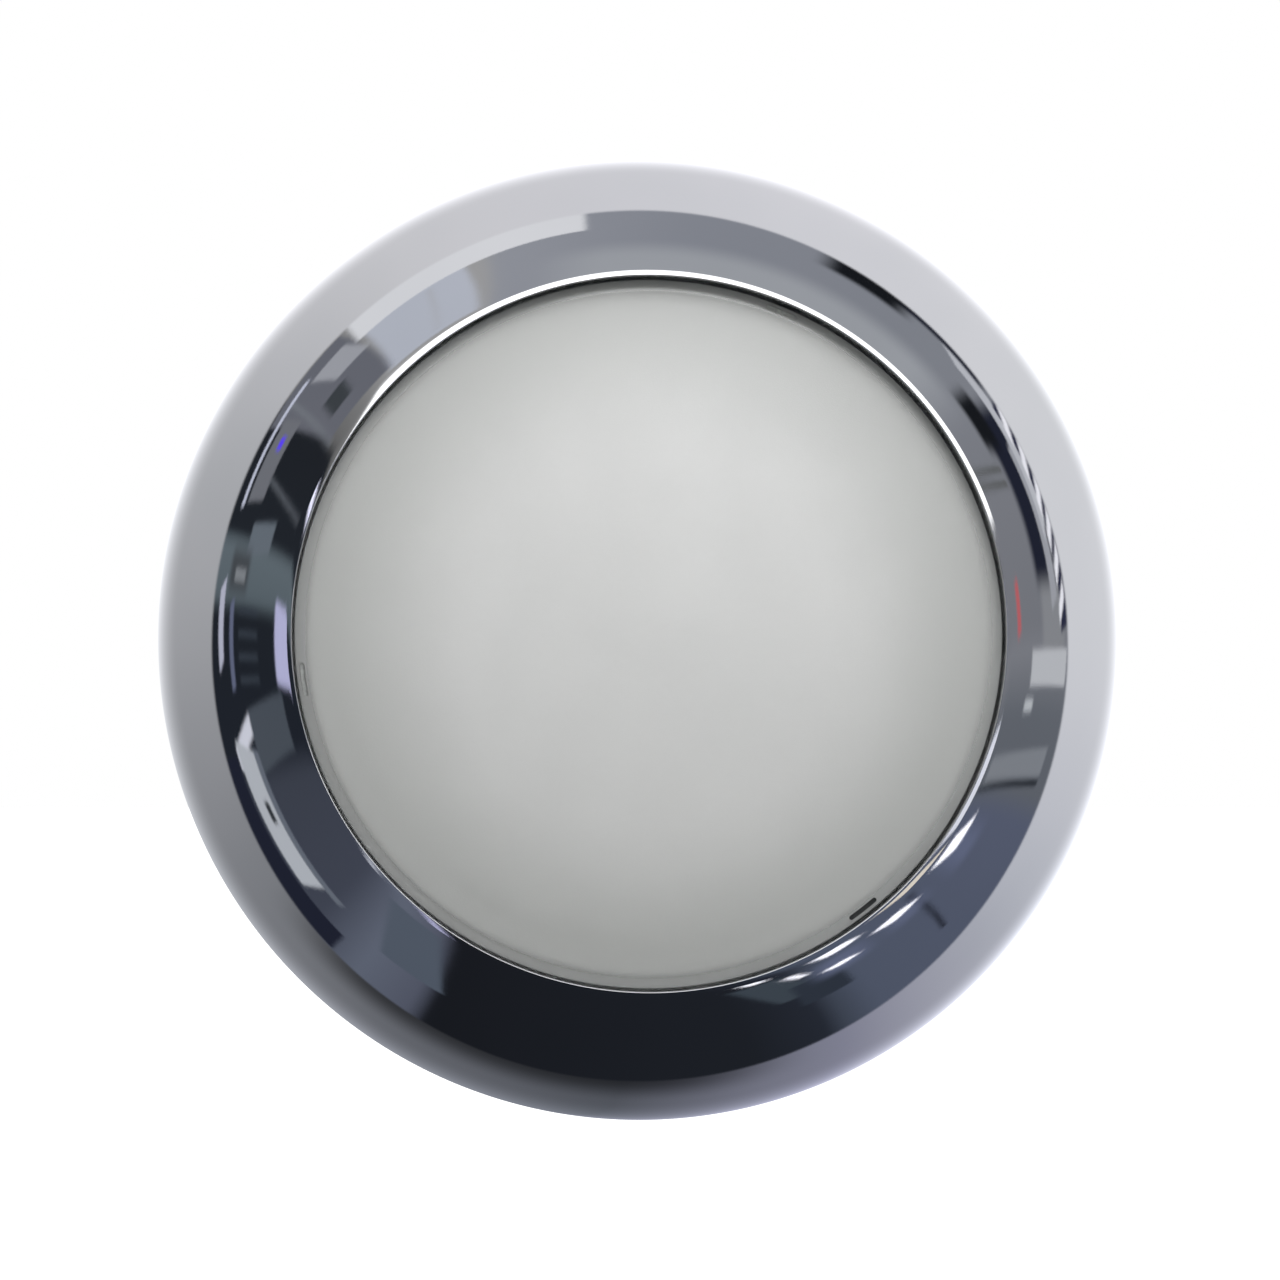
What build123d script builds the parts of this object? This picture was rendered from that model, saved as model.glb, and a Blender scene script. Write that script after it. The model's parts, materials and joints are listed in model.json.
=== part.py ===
from build123d import *
import os
from math import asin, atan2, cos, degrees, radians, sin, sqrt

# Surface-mounted underwater light: a wall bracket, a sealed head that twists on to it, and a domed
# trim ring that clips over the head. Every piece is drawn standing out of a wall in the plane z = 0,
# with z as the distance from the wall. write() then turns it so that the wall is the plane y = 0,
# the face looks along -Y and +Z is up. Sizes are in mm, angles in degrees.

# ---- driving dimensions: fits ----
TOUCH = 0.05          # gap left between pieces that touch
THREAD_GAP = 0.05     # radial gap of a screw or nut in its thread

# ---- driving dimensions: trim ring ----
RING_R = 135.0        # outside radius
RING_REAR_Z = 2.0     # rear edge, clear of the wall
DOME_Z = 6.0          # height at which the dome starts
DOME_ARC_R = 48.0     # radius of the dome's section
RING_WALL = 3.0
LIP_R = 96.2          # inside radius of the lip
LIP_LAND_R = 10.0     # section radius of the flatter land between the dome and the lip's edge
LIP_LAND_TILT = 4.5   # slope of the land where its rounded edge starts
LIP_EDGE_R = 0.5
LIP_WALL = 2.0
LIP_REAR_Z = 43.3     # rear edge of the lip's wall
DOME_CENTRE_R = RING_R - DOME_ARC_R

# ---- driving dimensions: lens ----
LENS_TOP_Z = 54.5
LENS_FACE_R = 93.0    # edge of the frosted face
LENS_SAG = 5.5        # height of the frosted face
LENS_EDGE_R = 95.7    # side wall
LENS_SHOULDER = 0.9   # drop of the smooth shoulder outside the face
LENS_EDGE_ROUND = 0.5
LENS_WALL = 4.0
LENS_FLANGE_R = 104.0
LENS_FLANGE_Z = 37.1
LENS_FLANGE_T = 2.9

# ---- driving dimensions: light body ----
BODY_RIBS = 24
BODY_IN_R = 92.0
BODY_OUT_R = 96.5
SKIRT_IN_R = 93.0
SKIRT_Z = 3.5
FLOOR_Z = 12.0
FLOOR_TOP_Z = 15.5
FLANGE_R = 111.0
FLANGE_Z = 33.0
FLANGE_TOP_Z = 37.0
WELL_IN_R = 22.0
WELL_OUT_R = 25.0
WELL_Z = 21.0
WELL_TOP_Z = 24.5
GROOVE_R = 100.0      # middle of the lens seal's groove
GROOVE_W = 3.6
GROOVE_Z = 34.0

# ---- driving dimensions: bracket and bayonet ----
PLATE_T = 4.0
CONDUIT_R = 30.0
COLLAR_R = 33.0       # collar round the conduit opening
COLLAR_Z = 9.5
BRACKET_RIM_R = 86.0
BRACKET_RIM_Z = 11.7
BRACKET_RIM_WALL = 4.0
BRACKET_RIB_Z = 8.5
INNER_WINDOW_R = (42.0, 54.0)
OUTER_WINDOW_R = (73.0, 79.0)
SCREW_CIRCLE_R = 65.0
SCREW_ANGLES = (90, 210, 330)
WALL_SCREW_R = 2.6
WALL_SCREW_SINK_R = 5.3
SCREW_PAD_R = 9.0
SCREW_PAD_Z = 7.0
EAR_ANGLES = (30, 150, 270)
EAR_R = 92.4
EAR_Z = 8.2
EAR_TOP_Z = 11.0
EAR_WIDTH = 26.0
LUG_IN_R = 87.0
LUG_Z = 4.7
LUG_TOP_Z = 7.9
LUG_WIDTH = 22.0
STOP_GAP = 0.4        # degrees between a lug and its stop

# ---- driving dimensions: clamp ring, keys and trim clips ----
CLAMP_SCREWS = 12
CLAMP_SCREW_R = 106.9
CLAMP_R = 110.5
CLAMP_TOP_Z = 42.5
KEY_ANGLES = (67.7, 187.7, 307.7)
KEY_R = 94.0
KEY_LENGTH = 9.0
KEY_WIDTH = 1.2
KEY_LOW_Z = 45.6
KEY_TOP_Z = 48.3
CLIP_ANGLES = (15, 135, 255)
CLIP_FACE_R = 114.2   # face of the ring's boss that a clip is screwed to
CLIP_T = 0.8
CLIP_WIDTH = 12.0
CLIP_SCREW_Z = 18.0
CLIP_SCREW_X = 3.4
BOSS_BACK_R = 119.5   # back of the ring's clip bosses
BOSS_WIDTH = 17.0

# ---- driving dimensions: cable gland ----
GLAND_THREAD_R = 8.0
GLAND_HEX = 22.0      # across flats
GLAND_CABLE_R = 4.0   # hole for a 7.5 mm cable
GLAND_BORE_R = 4.6
GLAND_SEAL_R = 5.6    # bore that the seal sits in
GLAND_LOW_Z = 9.0     # ends of the threaded tube
GLAND_TOP_Z = 28.8
GLAND_HEX_Z = 17.6
NUT_LOW_Z = 5.2       # rounded end of the cap nut
NUT_HEX_Z = 8.0
NUT_TOP_Z = 17.2
SEAL_LOW_Z = 8.2
SEAL_TOP_Z = 16.5
FACE_SEAL_R = 9.65    # middle of the O-ring under the hexagon
FACE_SEAL_CORD_R = 0.8
FACE_GROOVE_W = 2.2
FACE_GROOVE_DEPTH = 1.7

# ---- driving dimensions: light engine ----
SPREADER_R = 90.0
SPREADER_Z = 34.0
SPREADER_T = 2.5
SPREADER_SCREW_R = 86.0
SPREADER_SCREWS = 6
PAD_T = 0.5
LED_BOARD_R = 77.0
LED_BOARD_T = 1.6
BOARD_SCREW_R = 55.0
BOARD_SCREW_ANGLES = (45, 165, 285)
LED_RINGS = ((22.0, 6), (44.0, 12), (66.0, 18))    # (radius, how many)
LED_BASE = 5.0
LED_BASE_T = 0.8
LED_DOME_R = 1.9
DIFFUSER_R = 82.3
DIFFUSER_Z = 41.7
DIFFUSER_T = 1.5
REFLECTOR_RIM_R = 84.0
REFLECTOR_RIM_Z = 43.2
REFLECTOR_FLANGE_Z = 41.4
LEAD_HOLE_R = 5.0
PAD_Z = SPREADER_Z + SPREADER_T
LED_BOARD_Z = PAD_Z + PAD_T
LED_TOP_Z = LED_BOARD_Z + LED_BOARD_T

# ---- driving dimensions: driver ----
DRIVER_X = (29.0, 75.0)
DRIVER_Y = 44.0
DRIVER_Z = 20.5
DRIVER_T = 1.6
DRIVER_TOP_Z = DRIVER_Z + DRIVER_T
DRIVER_FEET = ((33, 40), (33, -40), (71, 40), (71, -40))
PART_Z = DRIVER_TOP_Z + TOUCH    # seat of the parts on the driver board
CHOKE_AT = (52.0, 24.0, DRIVER_TOP_Z + 4.5)
CHOKE_R = 7.5
CHOKE_CORE_R = 3.1
CHOKE_TURN_R = 3.7
CHOKE_WIRE_R = 0.45
CAPACITOR_R = 5.0
CAPACITOR_H = 10.8
CAPACITOR_X = (41, 53, 65)
CAPACITOR_Y = -29.0
TERMINAL_Y = (-17, -11)
TERMINAL_X = 36.0
LEAD_R = 0.75
LEAD_Y = 1.2          # distance of each lead from the middle


# ---- helpers ----
def turned(*outline):
    """Solid of revolution about the optical axis, from (radius, height) corners."""
    corners = [Vector(r, 0, z) for r, z in outline]
    return revolve(make_face([Polyline(*corners, close=True)]), Axis.Z, 360)


def sector(low_r, high_r, low_z, high_z, middle, width):
    """Block of a ring, width degrees wide about the angle middle."""
    outline = ((low_r, low_z), (high_r, low_z), (high_r, high_z), (low_r, high_z))
    corners = [Vector(r, 0, z) for r, z in outline]
    wedge = revolve(make_face([Polyline(*corners, close=True)]), Axis.Z, width)
    return Rot(0, 0, middle - width / 2) * wedge


def radial_plate(thickness, *outline):
    """Flat plate in the radial plane at angle 0, from (radius, height) corners."""
    face = make_face([Polyline(*[Vector(r, 0, z) for r, z in outline], close=True)])
    return extrude(face, thickness / 2, dir=(0, 1, 0), both=True)


def rod(radius, low_z, high_z, x=0.0, y=0.0):
    """Upright cylinder between two heights."""
    return Pos(x, y, (low_z + high_z) / 2) * Cylinder(radius, high_z - low_z)


def block(size_x, size_y, low_z, high_z, x=0.0, y=0.0):
    """Upright box between two heights."""
    return Pos(x, y, (low_z + high_z) / 2) * Box(size_x, size_y, high_z - low_z)


def hexagon(flats, low_z, high_z):
    """Hexagonal prism with its corners turned off at both ends."""
    prism = Pos(0, 0, low_z) * extrude(RegularPolygon(flats / 2, 6, major_radius=False), high_z - low_z)
    corner = flats / sqrt(3)
    bevel = 0.8
    cone = turned((0, low_z), (corner - bevel, low_z), (corner, low_z + bevel / 2),
                  (corner, high_z - bevel / 2), (corner - bevel, high_z), (0, high_z))
    return prism & cone


def placed(shape, angles, radius=0.0):
    """Copies of a shape, moved out along X by radius and turned to each angle."""
    return [Rot(0, 0, angle) * Pos(radius, 0, 0) * shape for angle in angles]


def evenly(count, start=0.0):
    """Angles of count places spaced evenly round the axis."""
    return [start + 360 * i / count for i in range(count)]


def pan_screw(head_r, head_t, shank_r, length):
    """Pan-head screw on the Z axis: seat at height 0, head above, shank below, cross recess."""
    head = rod(head_r, 0, head_t)
    head = fillet(head.edges().group_by(Axis.Z)[-1], head_t * 0.45)
    recess = block(head_r * 1.1, head_r * 0.28, head_t * 0.4, head_t + 1)
    recess += block(head_r * 0.28, head_r * 1.1, head_t * 0.4, head_t + 1)
    return head + rod(shank_r, -length, 0) - recess


def countersunk_screw(head_r, shank_r, length):
    """Countersunk screw on the Z axis: top of the head at height 0, cross recess."""
    edge = 0.25
    cone_end = -edge - (head_r - shank_r)
    screw = turned((0, 0), (head_r, 0), (head_r, -edge), (shank_r, cone_end), (shank_r, -length), (0, -length))
    recess = block(head_r * 1.15, head_r * 0.3, -1.2, 1)
    recess += block(head_r * 0.3, head_r * 1.15, -1.2, 1)
    return screw - recess


def dome_z(radius, arc_r):
    """Height of the dome's circular section of radius arc_r, at a distance from the optical axis."""
    return DOME_Z + sqrt(arc_r**2 - (radius - DOME_CENTRE_R) ** 2)


def on_circle(centre, radius, angle):
    """Point (radius, height) of a circle in the section plane."""
    return Vector(centre[0] + radius * cos(radians(angle)), 0, centre[1] + radius * sin(radians(angle)))


def section_arc(centre, radius, start, end):
    """Arc in the section plane between two angles."""
    return ThreePointArc(*[on_circle(centre, radius, a) for a in (start, (start + end) / 2, end)])


def write(node, *shapes):
    """Stands the shapes up against the wall and writes them as one node of separate solids."""
    solids = [solid for shape in shapes for solid in shape.solids()]
    standing = [Rot(90, 0, 0) * solid for solid in solids]
    export_step(standing[0] if len(standing) == 1 else Compound(children=standing), f"parts/{node}.step")


# ---- trim ring ----
def ring_shell():
    """Domed shell: one arc up to the land round the lens, and the wall behind the lip."""
    dome = (DOME_CENTRE_R, DOME_Z)
    land_arc, edge_arc = DOME_ARC_R - LIP_LAND_R, LIP_LAND_R - LIP_EDGE_R
    flat = radians(LIP_LAND_TILT)
    steep = asin((LIP_R + LIP_EDGE_R - edge_arc * sin(flat) - DOME_CENTRE_R) / land_arc)
    land = (dome[0] + land_arc * sin(steep), dome[1] + land_arc * cos(steep))
    edge = (land[0] + edge_arc * sin(flat), land[1] + edge_arc * cos(flat))
    dome_end, land_end = 90 - degrees(steep), 90 - LIP_LAND_TILT

    inside_r = LIP_R + LIP_WALL
    inner_arc_r = DOME_ARC_R - RING_WALL
    inner_end = degrees(atan2(dome_z(inside_r, inner_arc_r) - DOME_Z, inside_r - DOME_CENTRE_R))

    outer = section_arc(dome, DOME_ARC_R, 0, dome_end)
    lip_land = section_arc(land, LIP_LAND_R, dome_end, land_end)
    lip_edge = section_arc(edge, LIP_EDGE_R, land_end, 180)
    inner = section_arc(dome, inner_arc_r, inner_end, 0)
    lip_wall = Polyline(lip_edge @ 1, Vector(LIP_R, 0, LIP_REAR_Z), Vector(inside_r, 0, LIP_REAR_Z), inner @ 0)
    rear_corners = [Vector(r, 0, RING_REAR_Z) for r in (RING_R - RING_WALL, RING_R)]
    rear = Polyline(inner @ 1, *rear_corners, outer @ 0)
    return revolve(make_face([outer, lip_land, lip_edge, lip_wall, inner, rear]), Axis.Z, 360)


def trim_ring():
    """Domed ring with stiffening ribs and three bosses for its spring clips."""
    wall_mid = DOME_ARC_R - RING_WALL / 2

    def wall_r(z):
        return DOME_CENTRE_R + sqrt(wall_mid**2 - (z - DOME_Z) ** 2)

    rib_low, rib_high = 8.0, 24.0
    rib = radial_plate(
        2.0, (122, rib_low), (wall_r(rib_low), rib_low), (wall_r(rib_high), rib_high), (125, rib_high)
    )
    boss_low, step_z, step_r = 10.0, 26.0, 116.0
    boss = radial_plate(
        BOSS_WIDTH,
        (CLIP_FACE_R, boss_low),
        (BOSS_BACK_R, boss_low),
        (BOSS_BACK_R, dome_z(BOSS_BACK_R, wall_mid)),
        (step_r, dome_z(step_r, wall_mid)),
        (step_r, step_z),
        (CLIP_FACE_R, step_z),
    )
    web_r, web_low, web_high = BOSS_BACK_R - 1, 14.0, 30.0
    web = radial_plate(
        2.0, (web_r, web_low), (wall_r(web_low), web_low), (wall_r(web_high), web_high), (web_r, web_high + 4)
    )
    pilot = Rot(0, 90, 0) * Cylinder(1.25, 5.0)
    for side in (-1, 1):
        boss += Pos(0, side * 6, 0) * web
        boss -= Pos(CLIP_FACE_R + 2.0, side * CLIP_SCREW_X, CLIP_SCREW_Z) * pilot
    return ring_shell() + placed(rib, evenly(12)) + placed(boss, CLIP_ANGLES)


def trim_clips():
    """Three leaf springs whose kinks hook under the body's flange."""
    face, low, bend = CLIP_FACE_R - TOUCH, 12.0, 25.2
    leaf = radial_plate(
        CLIP_WIDTH,
        (face - CLIP_T, low),
        (face, low),
        (face, bend),
        (111.0, 29.8),
        (113.7, 36.2),
        (113.0, 36.5),
        (110.0, 29.8),
        (face - CLIP_T, bend - 0.6),
    )
    for side in (-1, 1):
        leaf -= Pos(face, side * CLIP_SCREW_X, CLIP_SCREW_Z) * Rot(0, 90, 0) * Cylinder(1.6, 6)
    return placed(leaf, CLIP_ANGLES)


def clip_screws():
    """Two small screws in each trim clip."""
    screw = Rot(0, -90, 0) * pan_screw(2.5, 1.5, 1.2, 4.0)
    seat = CLIP_FACE_R - CLIP_T - 2 * TOUCH
    pair = [Pos(seat, side * CLIP_SCREW_X, CLIP_SCREW_Z) * screw for side in (-1, 1)]
    return [Rot(0, 0, angle) * each for angle in CLIP_ANGLES for each in pair]


# ---- lens and its fixing ----
def lens():
    """Frosted dome with a sloping shoulder, an upright wall and a flange, and three key pockets."""
    ball_r = (LENS_FACE_R**2 + LENS_SAG**2) / (2 * LENS_SAG)
    centre = (0, LENS_TOP_Z - ball_r)
    shoulder_r, shoulder_z = LENS_EDGE_R - LENS_EDGE_ROUND, LENS_TOP_Z - LENS_SAG - LENS_SHOULDER
    in_r = LENS_EDGE_R - LENS_WALL
    in_ball_r = ball_r - LENS_WALL

    def on_ball(radius, ball):
        return Vector(radius, 0, centre[1] + sqrt(ball**2 - radius**2))

    face = ThreePointArc(*[on_ball(r, ball_r) for r in (0, LENS_FACE_R / 2, LENS_FACE_R)])
    shoulder = Line(face @ 1, Vector(shoulder_r, 0, shoulder_z))
    edge = section_arc((shoulder_r, shoulder_z - LENS_EDGE_ROUND), LENS_EDGE_ROUND, 90, 0)
    inner = ThreePointArc(*[on_ball(r, in_ball_r) for r in (in_r, in_r / 2, 0)])
    flange_top = LENS_FLANGE_Z + LENS_FLANGE_T
    rim = Polyline(
        edge @ 1,
        Vector(LENS_EDGE_R, 0, flange_top),
        Vector(LENS_FLANGE_R, 0, flange_top),
        Vector(LENS_FLANGE_R, 0, LENS_FLANGE_Z),
        Vector(in_r, 0, LENS_FLANGE_Z),
        inner @ 0,
    )
    axis = Line(inner @ 1, face @ 0)
    shell = revolve(make_face([face, shoulder, edge, rim, inner, axis]), Axis.Z, 360)
    return shell - key_blocks(KEY_WIDTH + 2 * TOUCH, KEY_LENGTH + 2 * TOUCH, KEY_LOW_Z, LENS_TOP_Z)


def key_blocks(width, length, low_z, high_z):
    """Three slim curved blocks with rounded ends in the lens's edge."""
    low_r, high_r = KEY_R - width / 2, KEY_R + width / 2
    wide = degrees((length - width) / KEY_R)
    keys = []
    for angle in KEY_ANGLES:
        key = sector(low_r, high_r, low_z, high_z, angle, wide)
        for end in (-wide / 2, wide / 2):
            key += Rot(0, 0, angle + end) * rod(width / 2, low_z, high_z, KEY_R)
        keys.append(key)
    return keys


def lens_keys():
    """Black keys in the lens's edge that stop the trim ring from rattling on it."""
    return key_blocks(KEY_WIDTH, KEY_LENGTH, KEY_LOW_Z + TOUCH, KEY_TOP_Z)


def lens_seal():
    """O-ring squeezed between the body's flange and the lens."""
    cord_r = 1.5
    return Pos(0, 0, GROOVE_Z + cord_r + TOUCH / 2) * Torus(GROOVE_R, cord_r)


def lens_clamp():
    """Ring that holds the lens's flange down."""
    in_r, step_r = LENS_EDGE_R + 0.5, LENS_FLANGE_R + 0.25
    over = LENS_FLANGE_Z + LENS_FLANGE_T + TOUCH
    ring = turned(
        (in_r, over),
        (step_r, over),
        (step_r, FLANGE_TOP_Z + 0.2),
        (CLAMP_R, FLANGE_TOP_Z + 0.2),
        (CLAMP_R, CLAMP_TOP_Z - 1.3),
        (CLAMP_R - 1.3, CLAMP_TOP_Z),
        (in_r, CLAMP_TOP_Z),
    )
    hole = rod(2.0, FLANGE_TOP_Z - 1, CLAMP_TOP_Z + 1)
    sink = turned((0, CLAMP_TOP_Z - 1.85), (1.75, CLAMP_TOP_Z - 1.85), (3.6, CLAMP_TOP_Z), (3.6, 50), (0, 50))
    return ring - placed(hole + sink, evenly(CLAMP_SCREWS), CLAMP_SCREW_R)


def clamp_screws():
    """Countersunk screws round the clamp ring."""
    screw = Pos(0, 0, CLAMP_TOP_Z - 0.15) * countersunk_screw(3.2, 1.6, 13.0)
    return placed(screw, evenly(CLAMP_SCREWS), CLAMP_SCREW_R)


def clamp_inserts():
    """Threaded brass inserts under the clamp screws."""
    low, high = 28.0, FLANGE_TOP_Z - 0.1
    insert = rod(2.35, low, high) - rod(1.6 + THREAD_GAP, low - 1, high + 1)
    insert -= turned((2.0, 31.6), (3.0, 31.6), (3.0, 33.0), (2.0, 33.0))
    return placed(insert, evenly(CLAMP_SCREWS), CLAMP_SCREW_R)


# ---- light body ----
def light_body():
    """Housing: floor with a gland well, side wall, flange with a seal groove, skirt with bayonet lugs."""
    groove_in, groove_out = GROOVE_R - GROOVE_W / 2, GROOVE_R + GROOVE_W / 2
    cup = turned(
        (GLAND_THREAD_R + 0.1, WELL_Z),
        (GLAND_THREAD_R + 0.1, WELL_TOP_Z),
        (WELL_OUT_R, WELL_TOP_Z),
        (WELL_OUT_R, FLOOR_TOP_Z),
        (BODY_IN_R, FLOOR_TOP_Z),
        (BODY_IN_R, FLANGE_TOP_Z),
        (groove_in, FLANGE_TOP_Z),
        (groove_in, GROOVE_Z),
        (groove_out, GROOVE_Z),
        (groove_out, FLANGE_TOP_Z),
        (FLANGE_R, FLANGE_TOP_Z),
        (FLANGE_R, FLANGE_Z + 0.6),
        (FLANGE_R - 0.6, FLANGE_Z),
        (BODY_OUT_R, FLANGE_Z),
        (BODY_OUT_R, SKIRT_Z),
        (SKIRT_IN_R, SKIRT_Z),
        (SKIRT_IN_R, FLOOR_Z),
        (WELL_IN_R, FLOOR_Z),
        (WELL_IN_R, WELL_Z),
    )
    solid = cup + [sector(LUG_IN_R, SKIRT_IN_R + 1, LUG_Z, LUG_TOP_Z, a, LUG_WIDTH) for a in EAR_ANGLES]
    solid += placed(screw_boss(), evenly(CLAMP_SCREWS))
    solid += placed(wall_gusset(2.0, 99.5, 8.0, 10.0), evenly(BODY_RIBS, 180 / BODY_RIBS))
    solid += placed(spreader_seat(), evenly(SPREADER_SCREWS))
    solid += placed(floor_rib(), evenly(12))
    solid -= placed(rod(2.4, 27, 40), evenly(CLAMP_SCREWS), CLAMP_SCREW_R)
    solid -= placed(rod(1.5, 24, 40), evenly(SPREADER_SCREWS), SPREADER_SCREW_R)
    for x, y in DRIVER_FEET:
        solid -= rod(1.25, FLOOR_TOP_Z - 2, FLOOR_TOP_Z + 1, x, y)
    return solid


def wall_gusset(thickness, out_r, wall_z, out_z):
    """Upright plate between the body's wall and the underside of its flange."""
    root_r, top_z = BODY_OUT_R - 1, FLANGE_Z + 0.5
    return radial_plate(thickness, (root_r, wall_z), (out_r, out_z), (out_r, top_z), (root_r, top_z))


def screw_boss():
    """Boss under the flange for a threaded insert, tied to the wall."""
    return rod(4.0, 24, FLANGE_Z + 0.5, CLAMP_SCREW_R) + wall_gusset(3.0, 104, 18, 25)


def spreader_seat():
    """Pillar that the heat spreader is screwed to, tied to the wall."""
    low, tie_r, tie_z = FLOOR_TOP_Z - 1, BODY_IN_R + 1, 30.0
    pillar = rod(4.5, low, SPREADER_Z - TOUCH, SPREADER_SCREW_R)
    return pillar + radial_plate(
        3.0, (SPREADER_SCREW_R, low), (tie_r, low), (tie_r, tie_z), (SPREADER_SCREW_R, tie_z)
    )


def floor_rib():
    """Shallow rib on the outside of the body's floor."""
    in_r, out_r, root_z = WELL_OUT_R - 1, 80.0, FLOOR_Z + 1
    return radial_plate(2.0, (in_r, FLOOR_Z - 1.2), (out_r, FLOOR_Z - 0.3), (out_r, root_z), (in_r, root_z))


# ---- cable gland ----
def gland_body():
    """Threaded tube with a hexagon that seats on the well's floor from behind."""
    tube_r = GLAND_THREAD_R - THREAD_GAP
    groove_in, groove_out = FACE_SEAL_R - FACE_GROOVE_W / 2, FACE_SEAL_R + FACE_GROOVE_W / 2
    groove_z = WELL_Z - TOUCH - FACE_GROOVE_DEPTH
    body = hexagon(GLAND_HEX, GLAND_HEX_Z, WELL_Z - TOUCH) + rod(tube_r, GLAND_LOW_Z, GLAND_TOP_Z)
    body -= turned((groove_in, groove_z), (groove_out, groove_z), (groove_out, WELL_Z), (groove_in, WELL_Z))
    body -= rod(GLAND_SEAL_R, GLAND_LOW_Z - 1, SEAL_TOP_Z + 0.1)
    body -= rod(GLAND_BORE_R, GLAND_LOW_Z - 1, GLAND_TOP_Z + 1)
    return body


def gland_flange_seal():
    """O-ring between the gland's hexagon and the well's floor."""
    middle_z = WELL_Z - TOUCH - FACE_GROOVE_DEPTH + FACE_SEAL_CORD_R + TOUCH / 2
    return Pos(0, 0, middle_z) * Torus(FACE_SEAL_R, FACE_SEAL_CORD_R)


def gland_seal():
    """Rubber sleeve squeezed round the cable."""
    flange_r, flange_z, sleeve_r = 7.3, 8.9, GLAND_SEAL_R - 0.1
    return turned(
        (GLAND_CABLE_R, SEAL_LOW_Z),
        (flange_r, SEAL_LOW_Z),
        (flange_r, flange_z),
        (sleeve_r, flange_z),
        (sleeve_r, SEAL_TOP_Z),
        (GLAND_CABLE_R, SEAL_TOP_Z),
    )


def gland_washer():
    """Slip washer between the cap nut and the seal."""
    return rod(7.4, SEAL_LOW_Z - 0.85, SEAL_LOW_Z - TOUCH) - rod(4.4, NUT_LOW_Z, SEAL_LOW_Z)


def gland_nut():
    """Cap nut with a rounded end."""
    nut = hexagon(GLAND_HEX, NUT_HEX_Z, NUT_TOP_Z)
    nut += turned((0, NUT_LOW_Z), (7.6, NUT_LOW_Z), (9.4, 6.4), (10.2, 8.2), (0, 8.2))
    nut -= rod(GLAND_BORE_R, NUT_LOW_Z - 1, NUT_HEX_Z)
    nut -= rod(GLAND_THREAD_R + THREAD_GAP / 2, SEAL_LOW_Z - 0.9, NUT_TOP_Z + 1)
    return nut


def gland_locknut():
    """Nut inside the housing that holds the gland in the well."""
    nut = hexagon(GLAND_HEX, WELL_TOP_Z + TOUCH, GLAND_TOP_Z - 0.4)
    return nut - rod(GLAND_THREAD_R, WELL_Z, GLAND_TOP_Z)


# ---- wall bracket ----
def wall_bracket():
    """Plate with a conduit opening, screw pads, ribs and three bayonet ears with stops."""
    rim_in_r = BRACKET_RIM_R - BRACKET_RIM_WALL
    plate = turned(
        (CONDUIT_R, 0),
        (CONDUIT_R, COLLAR_Z),
        (COLLAR_R, COLLAR_Z),
        (COLLAR_R, PLATE_T),
        (rim_in_r, PLATE_T),
        (rim_in_r, BRACKET_RIM_Z),
        (BRACKET_RIM_R, BRACKET_RIM_Z),
        (BRACKET_RIM_R, 0),
    )
    rib_in, rib_out, rib_low = COLLAR_R - 1, rim_in_r + 2, PLATE_T - 1
    rib = radial_plate(
        2.0, (rib_in, rib_low), (rib_out, rib_low), (rib_out, BRACKET_RIB_Z), (rib_in, BRACKET_RIB_Z)
    )
    plate -= [sector(*INNER_WINDOW_R, -1, PLATE_T + 1, a, 19) for a in evenly(12)]
    plate -= [sector(*OUTER_WINDOW_R, -1, PLATE_T + 1, a, 17) for a in evenly(12)]
    plate += placed(rib, evenly(12, 15))
    plate += [piece for angle in EAR_ANGLES for piece in bayonet_ear(angle)]
    plate += placed(rod(SCREW_PAD_R, 1, SCREW_PAD_Z), SCREW_ANGLES, SCREW_CIRCLE_R)
    sink_z = SCREW_PAD_Z - (WALL_SCREW_SINK_R - WALL_SCREW_R)
    sink = turned((0, sink_z), (WALL_SCREW_R, sink_z), (WALL_SCREW_SINK_R, SCREW_PAD_Z), (0, SCREW_PAD_Z))
    plate -= placed(rod(WALL_SCREW_R, -1, SCREW_PAD_Z + 1) + sink, SCREW_ANGLES, SCREW_CIRCLE_R)
    return plate


def bayonet_ear(angle):
    """Ear that holds a lug of the light body, and the stop at its end."""
    in_r = BRACKET_RIM_R - 1
    stop_low, stop_high = angle - EAR_WIDTH / 2, angle - LUG_WIDTH / 2 - STOP_GAP
    ear = sector(in_r, EAR_R, EAR_Z, EAR_TOP_Z, angle, EAR_WIDTH)
    stop = sector(in_r, EAR_R, LUG_Z, EAR_Z + 1, (stop_low + stop_high) / 2, stop_high - stop_low)
    return [ear, stop]


# ---- light engine ----
def heat_spreader():
    """Aluminium disc that carries the LED board."""
    disc = rod(SPREADER_R, SPREADER_Z, PAD_Z) - through_hole(LEAD_HOLE_R)
    disc -= placed(through_hole(1.8), evenly(SPREADER_SCREWS), SPREADER_SCREW_R)
    disc -= placed(through_hole(1.25), BOARD_SCREW_ANGLES, BOARD_SCREW_R)
    return disc


def through_hole(radius):
    """Cutter for a hole through the spreader, the pad and the LED board."""
    return rod(radius, SPREADER_Z - 1, LED_TOP_Z + 1)


def spreader_screws():
    """Screws that hold the heat spreader on the body's six seats."""
    screw = Pos(0, 0, PAD_Z + TOUCH) * pan_screw(3.2, 2.0, 1.4, 9.0)
    return placed(screw, evenly(SPREADER_SCREWS), SPREADER_SCREW_R)


def thermal_pad():
    """Soft pad between the LED board and the heat spreader."""
    pad = rod(LED_BOARD_R, PAD_Z, LED_BOARD_Z) - through_hole(LEAD_HOLE_R)
    return pad - placed(through_hole(1.8), BOARD_SCREW_ANGLES, BOARD_SCREW_R)


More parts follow.
